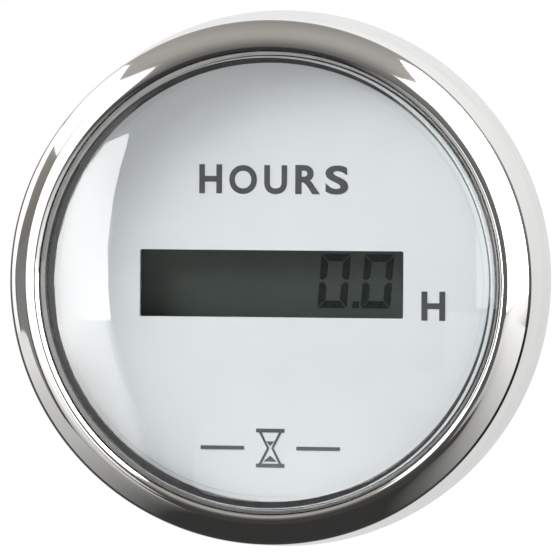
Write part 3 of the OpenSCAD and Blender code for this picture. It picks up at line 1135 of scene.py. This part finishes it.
@dataclass
class Studio:
    """Camera, light and backdrop, in metres and degrees."""

    azimuth: float = 7.3
    elevation: float = 2.2
    distance: float = 0.5
    edge_y: float = -0.0155
    frame_w: float = 0.066
    sensor: float = 36.0
    middle: Point = (0.00128, 0.00033)
    roll: float = 0.3
    clip: Point = (0.01, 20.0)
    floor_level: float = -0.16
    floor_r: float = 0.8
    floor_tones: tuple[Tone, Tone] = ((0.80, 0.80, 0.79), (0.84, 0.84, 0.83))
    floor_rough: float = 0.8
    room_shown: float = 1.0
    room_light: float = 0.17
    housing: tuple[str, ...] = ("case_thread", "rear_signs", "slip_washer", "ring_nut", "nut_thread")
    room_tint: Tone = (1.0, 0.955, 0.91)
    room_mirrored: tuple[Point, ...] = (
        (-1.0, 0.05), (-0.06, 0.06), (0.02, 0.19), (0.12, 0.22), (0.28, 0.28), (0.5, 0.42),
        (0.72, 0.45), (0.89, 0.39), (1.0, 0.33))

    def build(self) -> None:
        """Sets the camera, the light and the floor."""
        self.camera()
        self.world()
        self.lights()
        self.cards()
        self.floor()
        bpy.context.scene.view_settings.view_transform = "Standard"

    def toward(self, azimuth: float, elevation: float) -> Vector:
        """Direction from the dial, to the right and up."""
        a, e = math.radians(azimuth), math.radians(elevation)
        return Vector((math.sin(a) * math.cos(e), -math.cos(a) * math.cos(e), math.sin(e)))

    def camera(self) -> None:
        """Points the camera at the dial from the picture's viewing angle."""
        centre = Vector((0.0, self.edge_y, 0.0))
        a, e = math.radians(self.azimuth), math.radians(self.elevation)
        aside = Vector((math.tan(a), -1.0, math.tan(e))) * self.distance
        data = bpy.data.cameras.new("camera")
        data.sensor_width = self.sensor
        data.lens = self.sensor * aside.length / self.frame_w
        data.shift_x = self.middle[0] / self.frame_w
        data.shift_y = self.middle[1] / self.frame_w
        data.clip_start, data.clip_end = self.clip
        camera = bpy.data.objects.new("camera", data)
        bpy.context.scene.collection.objects.link(camera)
        camera.location = centre + aside
        camera.rotation_mode = "QUATERNION"
        camera.rotation_quaternion = ((-aside).to_track_quat("-Z", "Y")
                                      @ Quaternion((0, 0, 1), math.radians(self.roll)))
        bpy.context.scene.camera = camera

    def world(self) -> None:
        """Makes a white room, greyer where the steel mirrors it."""
        world = bpy.data.worlds.new("room")
        bpy.context.scene.world = world
        sheet = NodeSheet(world, "MixShader", "OutputWorld")
        path = sheet.node("LightPath")
        level = sheet.node("MapRange", To_Min=self.room_light, To_Max=self.room_shown)
        room = sheet.node("Background", Color=(1.0, 1.0, 1.0, 1.0))
        place = sheet.node("TexCoord")
        part = sheet.node("SeparateXYZ")
        height = sheet.node("MapRange", From_Min=-1.0)
        ramp = sheet.ramp([((rise + 1.0) / 2, tuple(glow * c for c in self.room_tint))
                           for rise, glow in self.room_mirrored])
        mirrored = sheet.node("Background")
        sheet.wire((place, "Generated", part, "Vector"), (part, "Z", height, "Value"),
                   (height, "Result", ramp, "Fac"), (ramp, "Color", mirrored, "Color"),
                   (path, "Is Camera Ray", level, "Value"), (level, "Result", room, "Strength"),
                   (path, "Is Glossy Ray", sheet.shader, "Fac"),
                   (room, "Background", sheet.shader, 1), (mirrored, "Background", sheet.shader, 2))

    def softbox(self, name: str, azimuth: float, elevation: float, away: float, size: Point,
                glow: float) -> bpy.types.Object:
        """Hangs a soft light that faces the dial.

        Args:
            name: name of the light.
            azimuth: degrees to the right of the dial's axis.
            elevation: degrees above it.
            away: distance in metres.
            size: width and height in metres.
            glow: brightness of its face.

        Returns:
            The light.
        """
        data = bpy.data.lights.new(name, "AREA")
        data.shape = "RECTANGLE"
        data.size, data.size_y = size
        data.energy = glow * math.pi * size[0] * size[1]
        light = bpy.data.objects.new(name, data)
        bpy.context.scene.collection.objects.link(light)
        out = self.toward(azimuth, elevation)
        light.location = out * away
        light.rotation_mode = "QUATERNION"
        light.rotation_quaternion = (-out).to_track_quat("-Z", "Z")
        light.visible_camera = False
        light.visible_glossy = False
        light.visible_transmission = False
        return light

    def fade(self, sheet: NodeSheet, axis: Axis, stops: list[Point]) -> bpy.types.Node:
        """Adds a brightness that changes along a direction.

        Args:
            sheet: nodes of the card's paint.
            axis: the direction.
            stops: places along it in metres, each with its brightness.

        Returns:
            The node that gives the brightness.
        """
        first, last = stops[0][0], stops[-1][0]
        peak = max(glow for _, glow in stops)
        place = sheet.node("TexCoord")
        along = sheet.math("VectorMath", "DOT_PRODUCT", axis.value)
        span = sheet.node("MapRange", From_Min=first, From_Max=last)
        ramp = sheet.ramp([((where - first) / (last - first), (glow / peak,) * 3) for where, glow in stops])
        scaled = sheet.math("Math", "MULTIPLY", peak)
        sheet.wire((place, "Object", along, 0), (along, "Value", span, "Value"),
                   (span, "Result", ramp, "Fac"), (ramp, "Color", scaled, 0))
        return scaled

    def even(self, glow: float) -> Fade:
        """The same brightness all over a card."""
        return Axis.X, [(-1.0, glow), (1.0, glow)]

    def card(self, name: str, corners: list[Vector], *fades: Fade, only: str = "") -> None:
        """Stands a card that shows only in reflections.

        Args:
            name: name of the card.
            corners: its corners in order, in metres.
            fades: directions, each with places along it in metres and their brightness,
                which are multiplied.
            only: the one piece that mirrors the card, if it isn't for all.
        """
        piece = draw(name, corners, closed=True)
        bpy.ops.mesh.edge_face_add()
        bpy.ops.object.mode_set(mode="OBJECT")
        paint = bpy.data.materials.new(name)
        sheet = NodeSheet(paint, "Emission")
        total, *others = [self.fade(sheet, *fade) for fade in fades]
        for part in others:
            both = sheet.math("Math", "MULTIPLY")
            sheet.wire((total, "Value", both, 0), (part, "Value", both, 1))
            total = both
        sheet.wire((total, "Value", sheet.shader, "Strength"))
        piece.data.materials.append(paint)
        piece.visible_camera = False
        piece.visible_diffuse = False
        piece.visible_transmission = False
        piece.visible_shadow = False
        if only:
            both, clear = sheet.node("AddShader"), sheet.node("BsdfTransparent")
            sheet.wire((sheet.shader, "Emission", both, 0), (clear, "BSDF", both, 1),
                       (both, "Shader", sheet.out, "Surface"))
            group = bpy.data.collections.new(f"{name}_mirrored")
            group.objects.link(bpy.data.objects[only])
            piece.light_linking.receiver_collection = group

    def screen(self, away: float, *directions: Point) -> list[Vector]:
        """Corners of a flat screen that fills an outline of directions.

        Args:
            away: distance of the screen in metres.
            directions: azimuth and elevation of each corner in degrees.

        Returns:
            The corners in metres.
        """
        rays = [self.toward(*d) for d in directions]
        axis = sum(rays, Vector()).normalized()
        centre = Vector((0.0, self.edge_y, 0.0))
        return [centre + ray * (away / ray.dot(axis)) for ray in rays]

    def lights(self) -> None:
        """Hangs the soft lights that shade the dial, and one that shows the back."""
        sides = [self.softbox("light_left", -72.0, 33.7, 0.45, (0.225, 0.17), 23.0),
                 self.softbox("light_left_high", -60.3, 31.3, 0.8, (0.35, 0.35), 10.8)]
        self.softbox("light_fill", 15.0, 2.0, 0.8, (0.6, 0.5), 0.45)
        rear = self.softbox("light_rear", -155.0, 42.0, 0.8, (0.7, 0.5), 4.0)
        housing, spared = map(bpy.data.collections.new, ("housing_lit", "housing_spared"))
        for piece in (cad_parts["case"], *map(bpy.data.objects.get, self.housing)):
            housing.objects.link(piece)
            spared.objects.link(piece)
        for item in spared.collection_objects:
            item.light_linking.link_state = "EXCLUDE"
        rear.light_linking.receiver_collection = housing
        for light in sides:
            light.light_linking.receiver_collection = spared

    def cards(self) -> None:
        """Stands the white, grey and dark cards that the steel and the lens mirror."""
        stand, screen = self.card, self.screen
        stand("card_right",
              screen(0.9, (9.4, -4), (84, -4), (84, 60), (47.7, 57.7), (23, 34), (5, 18), (5, 10), (9.4, 7)),
              (Axis.X, [(0.14, 1.5), (0.2, 3.5), (0.35, 5.0)]))
        stand("card_right_low", screen(0.9, (2, -4), (84, -4), (84, -12), (4, -12)),
              (Axis.X, [(0.04, 0.1), (0.1, 0.75), (0.2, 0.85), (0.45, 1.15)]),
              (Axis.Z, [(-0.2, 0.6), (-0.12, 1.0)]))
        stand("card_left",
              screen(0.9, (-20, -5.2), (-20.2, -3.4), (-20.3, 0.6), (-19.9, 4.5), (-19.4, 6.9), (-19, 8.4),
                     (-18.8, 9.6), (-20.7, 8.8), (-22.4, 6.5), (-23.6, 3.8), (-24.4, 1), (-24.7, -2),
                     (-24.5, -5.2)),
              (Axis.X, [(-0.37, 14.5), (-0.35, 15.2), (-0.33, 14.4), (-0.315, 12.2), (-0.305, 11.5)]))
        stand("card_left_wide",
              screen(0.95, (-20.3, -5.3), (-37, -5.3), (-40, 16), (-26, 25), (-21, 21), (-19.4, 10)),
              self.even(1.6))
        stand("card_left_near",
              screen(0.93, (-11.5, -4), (-12.5, -8.9), (-13, -13.7), (-15.4, -13.7), (-18.6, -8.9),
                     (-20, -5.2), (-20.3, 0.6), (-19.4, 6.9), (-18.8, 9.6), (-21, 21), (-13, 5)),
              (Axis.Z, [(-0.23, 0.5), (-0.13, 1.2), (-0.08, 1.6)]), only="bezel_ring")
        stand("card_left_low",
              screen(0.9, (-20, -5.2), (-18.6, -8.9), (-17.2, -11.3), (-15.4, -13.7), (-13.5, -15.4),
                     (-13.9, -18.7), (-16.7, -17.3), (-19.2, -15.4), (-21.4, -13.1), (-23, -10.6),
                     (-24.1, -7.8), (-24.6, -5.2)),
              (Axis.LOW_LEFT, [(0.317, 0.0), (0.328, 0.6), (0.345, 0.95), (0.38, 1.5)]),
              (Axis.Z, [(-0.25, 7.0), (-0.2, 5.7), (-0.15, 6.4), (-0.09, 10.2)]), only="domed_lens")
        stand("card_left_foot",
              screen(0.95, (-20.5, -5.2), (-19.6, -8.9), (-17.4, -13.7), (-15, -21), (-33, -21), (-37, -5.3)),
              (Axis.Z, [(-0.35, 0.4), (-0.24, 0.75), (-0.1, 1.6)]))
        stand("card_bottom",
              screen(0.88, (-12.4, -9), (14, -9), (14, -24), (-13.9, -24), (-13.9, -18.7), (-13.5, -15.4),
                     (-12.9, -13.7)),
              (Axis.Z, [(-0.31, 5.5), (-0.295, 4.5), (-0.275, 2.6), (-0.22, 0.9), (-0.15, 0.05)]),
              (Axis.X, [(-0.24, 0.0), (-0.16, 0.8), (-0.02, 1.2)]), only="domed_lens")
        stand("card_left_high",
              screen(0.9, (-26, 25), (-43, 16), (-75, 26), (-115, 33), (-115, 46), (-70, 48), (-45, 35)),
              self.even(1.5))
        stand("card_left_side",
              screen(0.85, (-62, -50), (-76, -50), (-95, 0), (-108, 30), (-70, 27), (-67, 12), (-74, 0),
                     (-70, -20)),
              (Axis.Z, [(-0.8, 0.3), (-0.1, 1.2), (0.3, 1.5)]))
        stand("card_left_dark",
              screen(0.7, (-40, 4), (-72, 4), (-69, -12), (-61, -30), (-50, -38), (-40, -20)),
              (Axis.Z, [(-0.45, 0.42), (-0.3, 0.26), (0.05, 0.22)]))
        stand("card_front", screen(0.95, (-13, -9), (7, -9), (7, 13), (-13, 13)),
              (Axis.Z, [(-0.16, 0.08), (0.2, 0.2)]))
        stand("card_edge_right", screen(0.7, (90, -40), (150, -40), (150, 25), (90, 25)),
              (Axis.Z, [(-0.2, 0.02), (0.3, 0.25)]))
        stand("card_edge_left", screen(0.7, (-100, -40), (-150, -40), (-150, 15), (-100, 15)),
              (Axis.Z, [(-0.3, 0.08), (0.3, 0.2)]))
        below = [(-0.6, -0.5), (-0.22, -0.26), (-0.05, -0.3), (0.1, -0.33), (0.25, -0.85), (0.6, -0.85),
                 (0.6, -0.02), (-0.6, -0.02)]
        stand("card_below", [Vector((x, y, -0.13)) for x, y in below],
              (Axis.X, [(-0.4, 0.9), (-0.18, 0.55), (-0.12, 0.32), (-0.07, 0.04), (0.05, 0.04), (0.08, 0.14),
                        (0.12, 0.34), (0.19, 0.62), (0.31, 0.9), (0.5, 1.1)]))
        behind = [(-0.7, -0.6), (0.8, -0.6), (0.8, 0.6), (-0.7, 0.6)]
        stand("card_behind", [Vector((x, 0.6, z)) for x, z in behind],
              (Axis.Z, [(-0.4, 0.55), (0.0, 0.8), (0.3, 1.05)]))

    def floor(self) -> None:
        """Lays a plain pale floor under the meter."""
        clear_selection()
        bpy.ops.mesh.primitive_circle_add(vertices=FLOOR_STEPS, radius=self.floor_r, fill_type="NGON",
                                          location=(0, 0, self.floor_level))
        floor = bpy.context.object
        floor.name = "floor"
        paper = bpy.data.materials.new("floor_paper")
        sheet = NodeSheet(paper)
        sheet.tint(*self.floor_tones, sheet.noise(30.0, 3.0))
        sheet.set(Roughness=self.floor_rough)
        floor.data.materials.append(paper)
        floor.visible_glossy = False
        floor.visible_transmission = False


def main() -> None:
    """Builds the meter from front to back, then the studio."""
    for group in (Front(), Counter(), Works(), Housing(), Clamp(), Studio()):
        group.build()
        LOG.info("done: %s", type(group).__name__)


if __name__ == "__main__":
    main()
